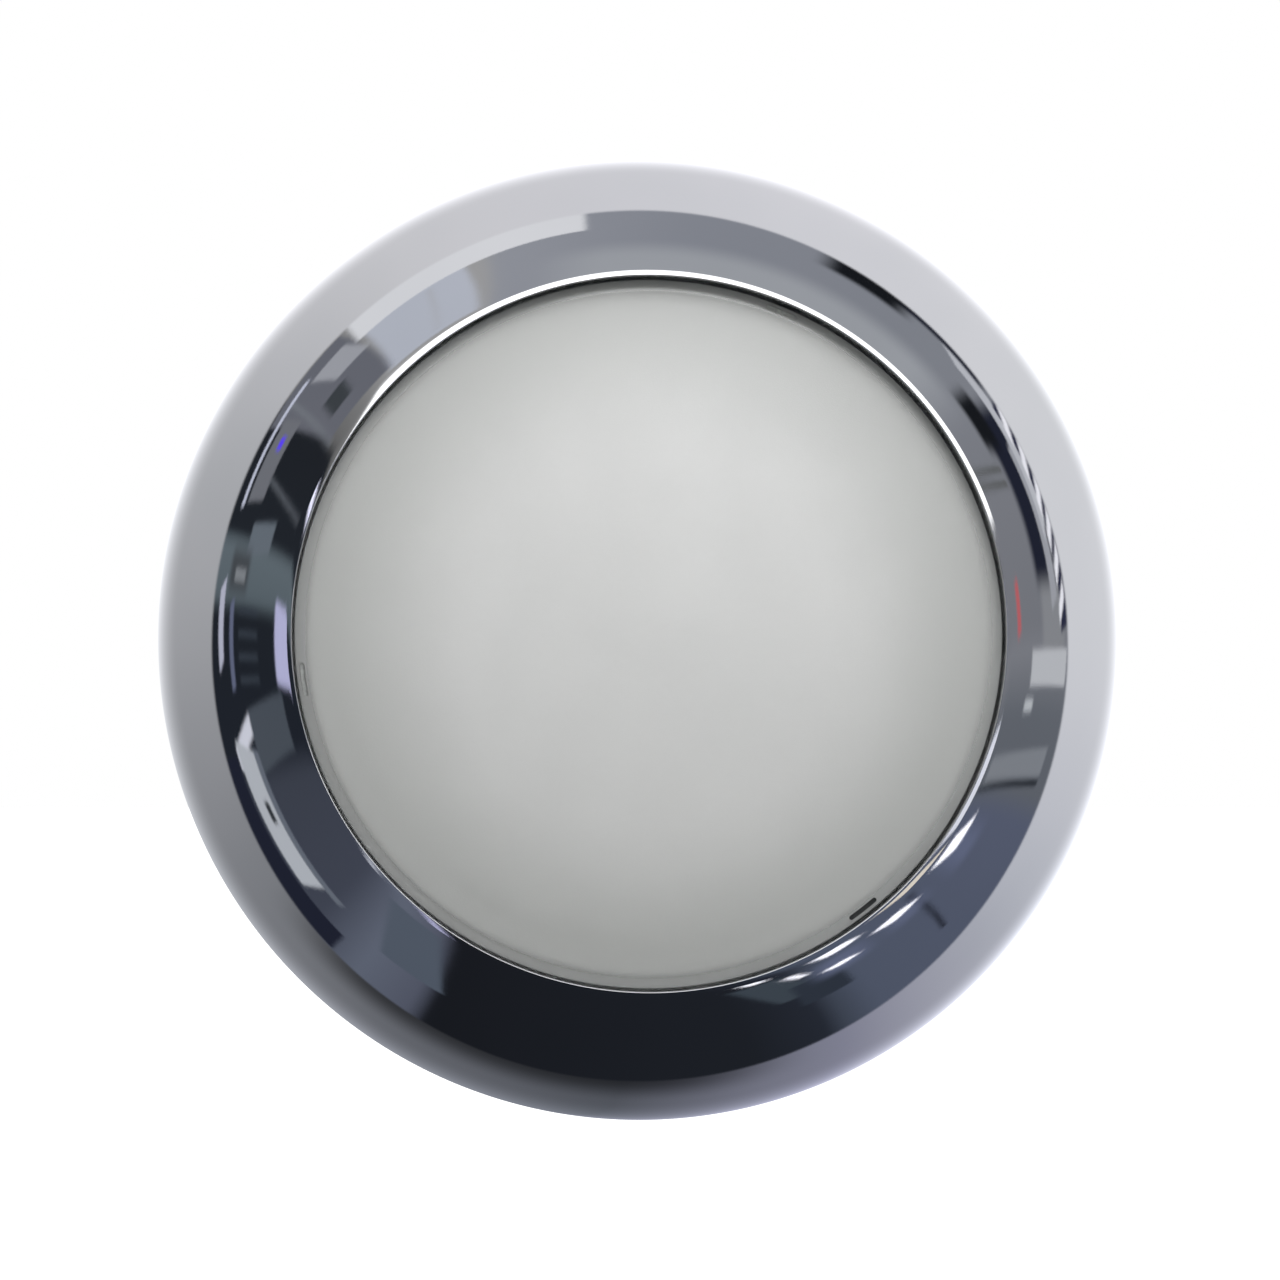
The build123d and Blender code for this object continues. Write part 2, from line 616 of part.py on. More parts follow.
def led_board():
    """Metal-core board."""
    board = rod(LED_BOARD_R, LED_BOARD_Z, LED_TOP_Z) - through_hole(LEAD_HOLE_R - 1)
    return board - placed(through_hole(1.6), BOARD_SCREW_ANGLES, BOARD_SCREW_R)


def led_board_screws():
    """Screws that press the LED board on to the pad."""
    screw = Pos(0, 0, LED_TOP_Z + TOUCH) * pan_screw(2.8, 1.8, 1.2, 4.0)
    return placed(screw, BOARD_SCREW_ANGLES, BOARD_SCREW_R)


def led_packages():
    """LED packages in three circles, each a square base with a small clear dome."""
    base_z = LED_TOP_Z + LED_BASE_T
    dome = Pos(0, 0, base_z) * Sphere(LED_DOME_R)
    package = block(LED_BASE, LED_BASE, LED_TOP_Z, base_z)
    package += dome & block(LED_BASE, LED_BASE, base_z - 0.4, base_z + 0.7)
    return [copy for radius, count in LED_RINGS for copy in placed(package, evenly(count, 10), radius)]


def reflector():
    """White ring round the LED board, with a step for the diffuser and a flange out to the lens's wall."""
    in_r, foot_r, out_r = LED_BOARD_R + 0.5, SPREADER_SCREW_R - 3.5, LENS_EDGE_R - LENS_WALL - 0.4
    foot_z, under_z = PAD_Z + TOUCH, LED_TOP_Z + 0.5
    step_r, step_z = DIFFUSER_R + 0.2, DIFFUSER_Z - TOUCH
    return turned(
        (in_r, foot_z),
        (foot_r, foot_z),
        (foot_r, under_z),
        (out_r, under_z),
        (out_r, REFLECTOR_FLANGE_Z),
        (REFLECTOR_RIM_R, REFLECTOR_FLANGE_Z),
        (REFLECTOR_RIM_R, REFLECTOR_RIM_Z),
        (step_r, REFLECTOR_RIM_Z),
        (step_r, step_z),
        (80.0, step_z),
        (in_r, LED_TOP_Z),
    )


def diffuser():
    """Opal disc in front of the LEDs."""
    disc = rod(DIFFUSER_R, DIFFUSER_Z, DIFFUSER_Z + DIFFUSER_T)
    return chamfer(disc.edges().group_by(Axis.Z)[-1], 0.4)


# ---- driver ----
def driver_board():
    """Circuit board of the driver."""
    width = DRIVER_X[1] - DRIVER_X[0]
    board = block(width, 2 * DRIVER_Y, DRIVER_Z, DRIVER_TOP_Z, sum(DRIVER_X) / 2)
    board = fillet(board.edges().filter_by(Axis.Z), 3)
    for x, y in DRIVER_FEET:
        board -= rod(1.6, DRIVER_Z - 1, DRIVER_TOP_Z + 1, x, y)
    return board


def driver_standoffs():
    """Four spacers between the floor and the driver board."""
    spacer = rod(3, FLOOR_TOP_Z, DRIVER_Z) - rod(1.5, FLOOR_Z, DRIVER_TOP_Z)
    return [Pos(x, y, 0) * spacer for x, y in DRIVER_FEET]


def driver_screws():
    """Screws through the driver board and its spacers."""
    screw = pan_screw(2.8, 1.8, 1.2, 8.0)
    return [Pos(x, y, DRIVER_TOP_Z + TOUCH) * screw for x, y in DRIVER_FEET]


def choke_core():
    """Ferrite ring of the choke."""
    return Pos(*CHOKE_AT) * Torus(CHOKE_R, CHOKE_CORE_R)


def choke_winding():
    """Copper turns round the ferrite ring."""
    turn = Rot(90, 0, 0) * Torus(CHOKE_TURN_R, CHOKE_WIRE_R)
    return [Pos(*CHOKE_AT) * each for each in placed(turn, range(20, 341, 20), CHOKE_R)]


def capacitors():
    """Three upright electrolytic capacitors."""
    can = rod(CAPACITOR_R, PART_Z, PART_Z + CAPACITOR_H)
    can = fillet(can.edges().group_by(Axis.Z)[-1], 0.8)
    neck_r, neck_low, neck_high = CAPACITOR_R - 0.2, PART_Z + 2.0, PART_Z + 2.8
    can -= turned((neck_r, neck_low), (neck_r + 1, neck_low), (neck_r + 1, neck_high), (neck_r, neck_high))
    return [Pos(x, CAPACITOR_Y, 0) * can for x in CAPACITOR_X]


def rectifier():
    """Bridge rectifier block with one chamfered corner."""
    body = block(5, 16, PART_Z, PART_Z + 9.5, 68, 6)
    return chamfer(body.edges().filter_by(Axis.X).group_by(Axis.Z)[-1], 1.5)


def driver_transistor():
    """Power transistor lying on its metal tab."""
    tab = block(15, 10, PART_Z, PART_Z + 1.3, 52, -8)
    return tab + block(9, 10, PART_Z + 1, PART_Z + 4.5, 55, -8)


def terminal_block():
    """Two-way terminal for the supply cores."""
    body = block(9, 12, PART_Z, PART_Z + 8.5, TERMINAL_X, sum(TERMINAL_Y) / 2)
    for y in TERMINAL_Y:
        body -= Pos(TERMINAL_X - 5, y, PART_Z + 2.6) * Box(8, 3.2, 3.2)
        body -= rod(1.9, PART_Z + 4.0, PART_Z + 12, TERMINAL_X + 0.5, y)
    return body


def terminal_screws():
    """Clamping screws of the terminal."""
    screw = rod(1.8, PART_Z + 4.1, PART_Z + 7.4) - block(3.2, 0.6, PART_Z + 6.6, PART_Z + 8)
    return [Pos(TERMINAL_X + 0.5, y, 0) * screw for y in TERMINAL_Y]


def led_lead(y):
    """Insulated wire from the driver board, through the heat spreader's hole, to the plug."""
    start_x, end_x, over_z, board_z = 34.0, 7.4, 30.2, 40.2
    corners = [(start_x, y, PART_Z), (start_x, y, over_z), (0, y, over_z), (0, y, board_z), (end_x, y, board_z)]
    path = FilletPolyline(*corners, radius=(4, 4, 3))
    return sweep(Plane(path @ 0, z_dir=path % 0) * Circle(LEAD_R), path)


def lead_grommet():
    """Rubber ring that guards the leads in the heat spreader's hole."""
    in_r, neck_r, flange_r = 3.4, LEAD_HOLE_R - 0.1, 6.2
    low, under, top = SPREADER_Z - 0.7, SPREADER_Z - TOUCH, PAD_Z - TOUCH
    return turned((in_r, low), (flange_r, low), (flange_r, under), (neck_r, under), (neck_r, top), (in_r, top))


def led_plug():
    """Plug on the end of the leads."""
    return block(4.5, 5.6, LED_TOP_Z + 0.35, 41.3, 9.75)


def led_socket():
    """Socket on the LED board: a tray that the plug lies in."""
    tray = block(6.4, 7.4, LED_TOP_Z, 41.3, 10.35)
    return tray - block(6, 5.8, LED_TOP_Z + 0.3, 50, 9.2)


def moisture_pack():
    """Sachet of drying agent on the floor."""
    sachet = block(30, 44, FLOOR_TOP_Z + TOUCH, FLOOR_TOP_Z + 5.5, -56)
    return fillet(sachet.edges(), 2.0)


def main():
    """Writes every node to parts/."""
    os.makedirs("parts", exist_ok=True)
    write("wall_bracket", wall_bracket())
    write("light_body", light_body())
    write("gland_body", gland_body())
    write("gland_flange_seal", gland_flange_seal())
    write("gland_seal", gland_seal())
    write("gland_washer", gland_washer())
    write("gland_nut", gland_nut())
    write("gland_locknut", gland_locknut())
    write("lens", lens())
    write("lens_keys", *lens_keys())
    write("lens_seal", lens_seal())
    write("lens_clamp", lens_clamp())
    write("clamp_screws", *clamp_screws())
    write("clamp_inserts", *clamp_inserts())
    write("heat_spreader", heat_spreader())
    write("spreader_screws", *spreader_screws())
    write("thermal_pad", thermal_pad())
    write("led_board", led_board())
    write("led_board_screws", *led_board_screws())
    write("led_packages", *led_packages())
    write("reflector", reflector())
    write("diffuser", diffuser())
    write("driver_board", driver_board())
    write("driver_standoffs", *driver_standoffs())
    write("driver_screws", *driver_screws())
    write("choke_core", choke_core())
    write("choke_winding", *choke_winding())
    write("capacitors", *capacitors())
    write("rectifier", rectifier())
    write("driver_transistor", driver_transistor())
    write("terminal_block", terminal_block())
    write("terminal_screws", *terminal_screws())
    write("led_lead_red", led_lead(LEAD_Y))
    write("led_lead_black", led_lead(-LEAD_Y))
    write("lead_grommet", lead_grommet())
    write("led_plug", led_plug())
    write("led_socket", led_socket())
    write("moisture_pack", moisture_pack())
    write("trim_ring", trim_ring())
    write("trim_clips", *trim_clips())
    write("clip_screws", *clip_screws())


main()
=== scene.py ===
import json
from math import asin, atan2, cos, degrees, pi, radians, sin, sqrt

import bmesh
import bpy
from mathutils import Matrix, Vector


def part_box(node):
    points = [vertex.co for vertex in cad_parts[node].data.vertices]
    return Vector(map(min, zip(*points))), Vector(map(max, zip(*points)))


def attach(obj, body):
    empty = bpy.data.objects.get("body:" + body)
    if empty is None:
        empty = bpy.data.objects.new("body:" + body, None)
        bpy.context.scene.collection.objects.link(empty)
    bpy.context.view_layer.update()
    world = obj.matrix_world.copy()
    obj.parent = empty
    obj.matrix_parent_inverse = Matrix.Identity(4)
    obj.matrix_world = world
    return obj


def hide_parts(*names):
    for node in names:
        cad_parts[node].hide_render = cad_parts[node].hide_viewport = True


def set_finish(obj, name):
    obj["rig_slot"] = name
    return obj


# Looks for the surface-mounted underwater light: +Y goes into the wall, the face looks along -Y.
# Section sizes are in mm, as (distance from the optical axis, height off the wall).
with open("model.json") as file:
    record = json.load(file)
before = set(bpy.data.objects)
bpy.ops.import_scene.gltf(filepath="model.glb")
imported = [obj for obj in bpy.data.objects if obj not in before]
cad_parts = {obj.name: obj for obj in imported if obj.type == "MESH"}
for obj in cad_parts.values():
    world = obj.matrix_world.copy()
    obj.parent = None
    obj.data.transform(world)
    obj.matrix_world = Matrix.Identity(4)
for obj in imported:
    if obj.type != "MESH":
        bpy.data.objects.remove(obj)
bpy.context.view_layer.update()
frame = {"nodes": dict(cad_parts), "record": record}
nodes = frame["nodes"]
MM = 0.001
ring_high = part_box("trim_ring")[1]
lens_low, lens_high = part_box("lens")

# ---- sizes, as in the CAD model ----
RING_R = ring_high.x / MM
RING_REAR_Z = -ring_high.y / MM
DOME_Z = 6.0
DOME_ARC_R = 48.0
DOME_CENTRE_R = RING_R - DOME_ARC_R
RING_WALL = 3.0
RING_REAR_ROUND_IN = 0.4
RING_REAR_ROUND_OUT = 0.5
SOFT_EDGE = 0.3
LIP_R = 96.2
LIP_LAND_R = 10.0
LIP_LAND_TILT = 4.5
# Half of the CAD's radius, so that the glint along the lip is as thin as in the photograph.
LIP_EDGE_R = 0.25
LIP_WALL = 2.0
LIP_MID_Z = 48.0
LIP_REAR_Z = 43.3
LIP_REAR_CHAMFER = 0.3
RIB_COUNT = 12
RIB_T = 2.0
RIB_LOW = (122.0, 8.0)
RIB_TOP = (125.0, 24.0)
CLIP_ANGLES = (15, 135, 255)
CLIP_FACE_R = 114.2
CLIP_BOSS_W = 17.0
CLIP_BOSS_BACK_R = 119.5
CLIP_BOSS_STEP_R = 116.0
CLIP_BOSS_LOW_Z = 10.0
CLIP_BOSS_STEP_Z = 26.0

LENS_TOP_Z = -lens_low.y / MM
LENS_FACE_R = 93.0
LENS_SAG = 5.5
LENS_EDGE_R = 95.7
LENS_SHOULDER = 0.9
LENS_EDGE_ROUND = 0.5
LENS_EDGE_TILT = 14.0
LENS_WALL = 4.0
LENS_FLANGE_R = lens_high.x / MM
LENS_FLANGE_Z = -lens_high.y / MM
LENS_FLANGE_T = 2.9
LENS_FLANGE_FILLET = 0.4
LENS_FLANGE_CHAMFER = 0.3
KEY_ANGLES = (67.7, 187.7, 307.7)
KEY_R = 94.0
POCKET_LENGTH = 9.1
POCKET_WIDTH = 1.3
POCKET_LOW_Z = 45.6


# ---- meshes ----
def arc(centre, radius, start, end, steps):
    """Points of a circle in the section plane, between two angles in degrees."""
    angles = [start + (end - start) * i / steps for i in range(steps + 1)]
    return [(centre[0] + radius * cos(radians(a)), centre[1] + radius * sin(radians(a))) for a in angles]


def new_piece(name, bm, body, slot, smooth=40.0):
    """Object from a bmesh, shaded smooth except at sharp edges, riding on a CAD body."""
    bmesh.ops.recalc_face_normals(bm, faces=bm.faces)
    mesh = bpy.data.meshes.new(name)
    bm.to_mesh(mesh)
    bm.free()
    mesh.shade_smooth()
    mesh.set_sharp_from_angle(angle=radians(smooth))
    piece = bpy.data.objects.new(name, mesh)
    bpy.context.scene.collection.objects.link(piece)
    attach(piece, body)
    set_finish(piece, slot)
    return piece


def stand(radius, height, angle):
    """Point in the frame, in metres, from distance off the axis, height off the wall and angle round it."""
    return Vector((radius * cos(angle), -height, radius * sin(angle))) * MM


def lathe(outline, steps):
    """Solid of revolution about the optical axis, from a closed section outline."""
    bm = bmesh.new()
    rings = []
    for radius, height in outline:
        if radius < 1e-6:
            rings.append([bm.verts.new(stand(0, height, 0))] * steps)
        else:
            rings.append([bm.verts.new(stand(radius, height, 2 * pi * k / steps)) for k in range(steps)])
    for i, ring in enumerate(rings):
        after = rings[(i + 1) % len(rings)]
        for k in range(steps):
            n = (k + 1) % steps
            corners = list(dict.fromkeys([ring[k], ring[n], after[n], after[k]]))
            if len(corners) > 2:
                bm.faces.new(corners)
    return bm


def block(bm, ends):
    """Block between two outlines with the same number of corners, in metres."""
    first, last = [[bm.verts.new(corner) for corner in end] for end in ends]
    bm.faces.new(first)
    bm.faces.new(last[::-1])
    for i in range(len(first)):
        n = (i + 1) % len(first)
        bm.faces.new((first[i], first[n], last[n], last[i]))


def radial_plate(bm, thickness, outline, angle):
    """Flat plate in the radial plane at an angle in degrees, from a section outline."""
    turn = Matrix.Rotation(-radians(angle), 4, "Y")
    ends = []
    for side in (-0.5, 0.5):
        ends.append([turn @ Vector((r, -z, side * thickness)) * MM for r, z in outline])
    block(bm, ends)


def dome_z(radius, arc_r):
    """Height of the ring's dome at a distance from the axis."""
    return DOME_Z + sqrt(arc_r**2 - (radius - DOME_CENTRE_R) ** 2)


def ring_outline():
    """Section of the domed shell, with the flatter land round the lens and its sharp edge."""
    dome = (DOME_CENTRE_R, DOME_Z)
    land_arc, edge_arc = DOME_ARC_R - LIP_LAND_R, LIP_LAND_R - LIP_EDGE_R
    flat = radians(LIP_LAND_TILT)
    steep = asin((LIP_R + LIP_EDGE_R - edge_arc * sin(flat) - DOME_CENTRE_R) / land_arc)
    land = (dome[0] + land_arc * sin(steep), dome[1] + land_arc * cos(steep))
    edge = (land[0] + edge_arc * sin(flat), land[1] + edge_arc * cos(flat))
    dome_end, land_end = 90 - degrees(steep), 90 - LIP_LAND_TILT
    inside_r = LIP_R + LIP_WALL
    inner_arc_r = DOME_ARC_R - RING_WALL
    inner_steep = degrees(atan2(dome_z(inside_r, inner_arc_r) - dome[1], inside_r - dome[0]))
    rear_in = RING_R - RING_WALL
    round_in, round_out = RING_REAR_ROUND_IN, RING_REAR_ROUND_OUT
    outline = arc((rear_in + round_in, RING_REAR_Z + round_in), round_in, 180, 270, 3)
    outline += arc((RING_R - round_out, RING_REAR_Z + round_out), round_out, 270, 360, 4)
    outline += arc(dome, DOME_ARC_R, 0, dome_end, 60)
    outline += arc(land, LIP_LAND_R, dome_end, land_end, 10)[1:]
    outline += arc(edge, LIP_EDGE_R, land_end, 180, 12)[1:]
    outline += [(LIP_R, LIP_MID_Z), (LIP_R, LIP_REAR_Z + LIP_REAR_CHAMFER)]
    outline += [(LIP_R + LIP_REAR_CHAMFER, LIP_REAR_Z), (inside_r, LIP_REAR_Z)]
    outline += arc(dome, inner_arc_r, inner_steep, 0, 20)
    return outline


def trim_ring():
    """Ring shell, stiffening ribs and clip bosses."""
    shell = new_piece("trim_ring_shell", lathe(ring_outline(), 512), "trim", "chrome_plating")
    wall_mid = DOME_ARC_R - RING_WALL / 2

    def wall_r(z):
        return DOME_CENTRE_R + sqrt(wall_mid**2 - (z - DOME_Z) ** 2)

    rib = [RIB_LOW, (wall_r(RIB_LOW[1]), RIB_LOW[1]), (wall_r(RIB_TOP[1]), RIB_TOP[1]), RIB_TOP]
    bm = bmesh.new()
    for k in range(RIB_COUNT):
        radial_plate(bm, RIB_T, rib, 360 * k / RIB_COUNT)
    ribs = new_piece("trim_ring_ribs", bm, "trim", "chrome_plating")
    boss = [
        (CLIP_FACE_R, CLIP_BOSS_LOW_Z),
        (CLIP_BOSS_BACK_R, CLIP_BOSS_LOW_Z),
        (CLIP_BOSS_BACK_R, dome_z(CLIP_BOSS_BACK_R, wall_mid)),
        (CLIP_BOSS_STEP_R, dome_z(CLIP_BOSS_STEP_R, wall_mid)),
        (CLIP_BOSS_STEP_R, CLIP_BOSS_STEP_Z),
        (CLIP_FACE_R, CLIP_BOSS_STEP_Z),
    ]
    bm = bmesh.new()
    for angle in CLIP_ANGLES:
        radial_plate(bm, CLIP_BOSS_W, boss, angle)
    bosses = new_piece("trim_ring_clip_bosses", bm, "trim", "chrome_plating")
    for piece in (ribs, bosses):
        bevel = piece.modifiers.new("soft_edges", "BEVEL")
        bevel.width = SOFT_EDGE * MM
        bevel.segments = 2
        bevel.harden_normals = True
    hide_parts("trim_ring")
    return [shell, ribs, bosses]


def pocket_rim(middle, steps=8):
    """Outline of a key pocket, a slim slot with rounded ends, from the angle of its middle."""
    reach = (POCKET_LENGTH - POCKET_WIDTH) / 2 / KEY_R
    half = POCKET_WIDTH / 2

    def side(radius, start, end):
        angles = [start + (end - start) * k / steps for k in range(steps + 1)]
        return [(radius * cos(a), radius * sin(a)) for a in angles]

    def rounded_end(place, start):
        angles = [start + pi * k / steps for k in range(1, steps)]
        return [(KEY_R * cos(place) + half * cos(a), KEY_R * sin(place) + half * sin(a)) for a in angles]

    low, high = radians(middle) - reach, radians(middle) + reach
    outer, inner = side(KEY_R + half, low, high), side(KEY_R - half, high, low)
    return outer + rounded_end(high, high) + inner + rounded_end(low, low + pi)


def key_cutters():
    """Blocks that cut the key pockets."""
    bm = bmesh.new()
    for middle in KEY_ANGLES:
        rim = pocket_rim(middle)
        block(bm, [[Vector((x, -z, y)) * MM for x, y in rim] for z in (POCKET_LOW_Z, LENS_TOP_Z)])
    bmesh.ops.recalc_face_normals(bm, faces=bm.faces)
    mesh = bpy.data.meshes.new("key_cutters")
    bm.to_mesh(mesh)
    bm.free()
    cutter = bpy.data.objects.new("key_cutters", mesh)
    bpy.context.scene.collection.objects.link(cutter)
    return cutter


def lens():
    """Frosted dome with a smooth sloping shoulder, a side wall and a flange."""
    ball_r = (LENS_FACE_R**2 + LENS_SAG**2) / (2 * LENS_SAG)
    centre = (0, LENS_TOP_Z - ball_r)
    in_r = LENS_EDGE_R - LENS_WALL
    in_ball_r = ball_r - LENS_WALL
    edge_mid = (LENS_EDGE_R - LENS_EDGE_ROUND, LENS_TOP_Z - LENS_SAG - LENS_SHOULDER - LENS_EDGE_ROUND)
    flange_top = LENS_FLANGE_Z + LENS_FLANGE_T
    outer_tilt = degrees(asin(LENS_FACE_R / ball_r))
    inner_tilt = degrees(asin(in_r / in_ball_r))
    outline = arc(centre, ball_r, 90, 90 - outer_tilt, 40)
    outline += arc(edge_mid, LENS_EDGE_ROUND, 90 - LENS_EDGE_TILT, 0, 8)
    fillet, chamfer = LENS_FLANGE_FILLET, LENS_FLANGE_CHAMFER
    outline += [(LENS_EDGE_R, flange_top + fillet), (LENS_EDGE_R + fillet, flange_top)]
    outline += [(LENS_FLANGE_R - chamfer, flange_top), (LENS_FLANGE_R, flange_top - chamfer)]
    outline += [(LENS_FLANGE_R, LENS_FLANGE_Z), (in_r, LENS_FLANGE_Z)]
    outline += arc(centre, in_ball_r, 90 - inner_tilt, 90, 30)
    piece = new_piece("lens_shell", lathe(outline, 360), "light_head", "frosted_lens", 30.0)
    cutter = key_cutters()
    cut = piece.modifiers.new("key_pockets", "BOOLEAN")
    cut.operation = "DIFFERENCE"
    cut.solver = "EXACT"
    cut.object = cutter
    graph = bpy.context.evaluated_depsgraph_get()
    pocketed = bpy.data.meshes.new_from_object(piece.evaluated_get(graph))
    piece.modifiers.clear()
    piece.data = pocketed
    pocketed.name = "lens_shell"
    bpy.data.objects.remove(cutter)
    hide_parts("lens")
    return [piece]


# ---- node helpers ----
class Tree:
    """Short names for building a node tree."""

    def __init__(self, owner):
        owner.use_nodes = True
        self.tree = owner.node_tree
        self.tree.nodes.clear()

    def node(self, kind, **settings):
        made = self.tree.nodes.new("ShaderNode" + kind)
        for name, value in settings.items():
            setattr(made, name, value)
        return made

    def link(self, source, target):
        self.tree.links.new(source, target)

    def feed(self, socket, value):
        """Sets a socket to a number or colour, or links it to another socket."""
        if isinstance(value, bpy.types.NodeSocket):
            self.link(value, socket)
        else:
            socket.default_value = value

    def math(self, operation, a, b=0.0, c=0.0):
        made = self.node("Math", operation=operation)
        for socket, value in zip(made.inputs, (a, b, c)):
            self.feed(socket, value)
        return made.outputs[0]

    def span(self, value, low, high, to_low=0.0, to_high=1.0, kind="SMOOTHSTEP"):
        """Value mapped from low..high to to_low..to_high, held at the ends."""
        made = self.node("MapRange", interpolation_type=kind)
        for socket, given in zip(made.inputs, (value, low, high, to_low, to_high)):
            self.feed(socket, given)
        return made.outputs[0]

    def mix(self, factor, a, b):
        """Colour mixed from a to b."""
        made = self.node("Mix", data_type="RGBA")
        self.feed(made.inputs[0], factor)
        self.feed(made.inputs[6], a)
        self.feed(made.inputs[7], b)
        return made.outputs[2]

    def ramp(self, value, stops, kind="LINEAR"):
        """Colour ramp of (place, grey or colour) stops."""
        made = self.node("ValToRGB")
        made.color_ramp.interpolation = kind
        points = made.color_ramp.elements
        while len(points) < len(stops):
            points.new(0.5)
        for point, (place, colour) in zip(points, stops):
            point.position = place
            point.color = rgb(colour)
        self.feed(made.inputs[0], value)
        return made.outputs[0]

    def noise(self, where, scale, detail=3.0, roughness=0.55, distortion=0.0):
        made = self.node("TexNoise")
        self.link(where, made.inputs["Vector"])
        made.inputs["Scale"].default_value = scale
        made.inputs["Detail"].default_value = detail
        made.inputs["Roughness"].default_value = roughness
        made.inputs["Distortion"].default_value = distortion
        return made.outputs[0]


def rgb(colour):
    """RGBA from a grey value or an RGB colour, linear."""
    if isinstance(colour, (int, float)):
        return (colour, colour, colour, 1.0)
    return (*colour, 1.0)


def srgb(*values):
    """Linear RGB colour from 0..255 screen values."""
    linear = []
    for v in values:
        s = v / 255
        linear.append(s / 12.92 if s <= 0.04045 else ((s + 0.055) / 1.055) ** 2.4)
    return tuple(linear) if len(linear) > 1 else (linear[0],) * 3


# ---- materials ----
class Surface(Tree):
    """Principled material in object coordinates, with bump, colour and gloss detail."""

    def __init__(self, name, **sockets):
        self.material = bpy.data.materials.new(name)
        super().__init__(self.material)
        self.shader = self.node("BsdfPrincipled")
        out = self.node("OutputMaterial")
        self.link(self.shader.outputs[0], out.inputs[0])
        self.where = self.node("TexCoord").outputs["Object"]
        for socket, value in sockets.items():
            self.shader.inputs[socket.replace("_", " ")].default_value = value
        self.normal = None

    def colour(self, value):
        self.feed(self.shader.inputs["Base Color"], value)

    def mottle(self, dark, light, scale, detail=4.0):
        """Base colour that wanders between two shades."""
        patchy = self.noise(self.where, scale, detail)
        self.colour(self.mix(self.span(patchy, 0.3, 0.7, kind="LINEAR"), rgb(dark), rgb(light)))

    def gloss(self, low, high, scale, detail=3.0):
        """Roughness that wanders between two values."""
        patchy = self.noise(self.where, scale, detail)
        self.link(self.span(patchy, 0.3, 0.7, low, high, kind="LINEAR"), self.shader.inputs["Roughness"])

    def bump(self, height, depth, strength=1.0):
        """Adds a height field, depth in metres, to the surface's normal."""
        made = self.node("Bump")
        made.inputs["Strength"].default_value = strength
        made.inputs["Distance"].default_value = depth
        self.link(height, made.inputs["Height"])
        if self.normal is not None:
            self.link(self.normal, made.inputs["Normal"])
        self.normal = made.outputs[0]
        self.link(self.normal, self.shader.inputs["Normal"])

    def radius(self):
        """Distance from the optical axis, in metres."""
        apart = self.node("SeparateXYZ")
        self.link(self.where, apart.inputs[0])
        squares = [self.math("MULTIPLY", apart.outputs[k], apart.outputs[k]) for k in (0, 2)]
        return self.math("SQRT", self.math("ADD", *squares))


def chrome(name):
    s = Surface(name, Metallic=1.0)
    s.mottle(srgb(226, 227, 229), srgb(233, 233, 235), 18.0, 2.0)
    s.gloss(0.012, 0.03, 60.0, 5.0)
    s.bump(s.noise(s.where, 45.0, 2.0), 0.00002, 0.35)
    s.bump(s.noise(s.where, 5200.0, 2.0, 0.7), 0.000004, 0.5)
    return s.material


def frosted_lens(name):
    """Blasted polycarbonate with a half-polished edge, with painted shade that darkens the colour a little
    towards the edge of the face.
    """
    s = Surface(name, Transmission_Weight=0.62, IOR=1.56)
    radius = s.radius()
    face_end = LENS_FACE_R * MM
    face = s.span(radius, face_end - 0.0009, face_end - 0.0001, 1.0, 0.0)
    grains = s.noise(s.where, 2600.0, 3.0, 0.7)
    cloud = s.noise(s.where, 55.0, 4.0, 0.6)
    clear = s.mix(s.span(cloud, 0.3, 0.7), rgb(srgb(249, 249, 248)), rgb(srgb(253, 253, 252)))
    # Painted shade: the base colour darkens towards the edge of the face.
    painted_edge_shade = s.span(radius, face_end - 0.045, face_end - 0.005)
    s.colour(s.mix(painted_edge_shade, clear, rgb(srgb(231, 232, 230))))
    frost = s.span(grains, 0.3, 0.7, 0.30, 0.46, kind="LINEAR")
    s.link(s.math("MULTIPLY_ADD", frost, face, 0.16), s.shader.inputs["Roughness"])
    s.bump(s.math("MULTIPLY", grains, face), 0.00006, 0.5)
    return s.material


def rubber_key_painted_light(name):
    """Dark rubber with painted light, a pale grainy tint that is strongest towards the upper left of the
    lens and faintest at the lower right.
    """
    s = Surface(name, Specular_IOR_Level=0.35)
    apart = s.node("SeparateXYZ")
    s.link(s.where, apart.inputs[0])
    # Painted light: the key is paler towards the upper left of the lens and darkest at the lower right.
    lean = s.math("MULTIPLY_ADD", apart.outputs[0], -0.8, apart.outputs[2])
    painted_light = s.span(lean, -0.10, 0.04, 0.04, 0.60)
    speckle = s.span(s.noise(s.where, 700.0, 4.0, 0.7), 0.35, 0.65, 0.7, 1.15, kind="LINEAR")
    s.colour(s.mix(s.math("MULTIPLY", painted_light, speckle), rgb(srgb(24, 26, 28)), rgb(srgb(196, 198, 196))))
    s.gloss(0.5, 0.75, 300.0)
    s.bump(s.noise(s.where, 1500.0, 3.0, 0.7), 0.00004, 0.5)
    return s.material


def moulded(name, dark, light, low, high, grain=0.00003, scale=900.0):
    """Moulded plastic with a fine spark-eroded texture and faint flow clouds."""
    s = Surface(name)
    s.mottle(dark, light, 28.0)
    s.gloss(low, high, 90.0)
    s.bump(s.noise(s.where, scale, 3.0, 0.65), grain, 0.5)
    s.bump(s.noise(s.where, 60.0, 2.0), 0.00008, 0.25)
    return s.material


def rubber(name, dark, light):
    """Rubber with a dusty bloom and a fine pebbled skin."""
    s = Surface(name, Specular_IOR_Level=0.35)
    s.mottle(dark, light, 120.0, 5.0)
    s.gloss(0.55, 0.8, 160.0)
    s.bump(s.noise(s.where, 1500.0, 3.0, 0.7), 0.00005, 0.6)
    return s.material


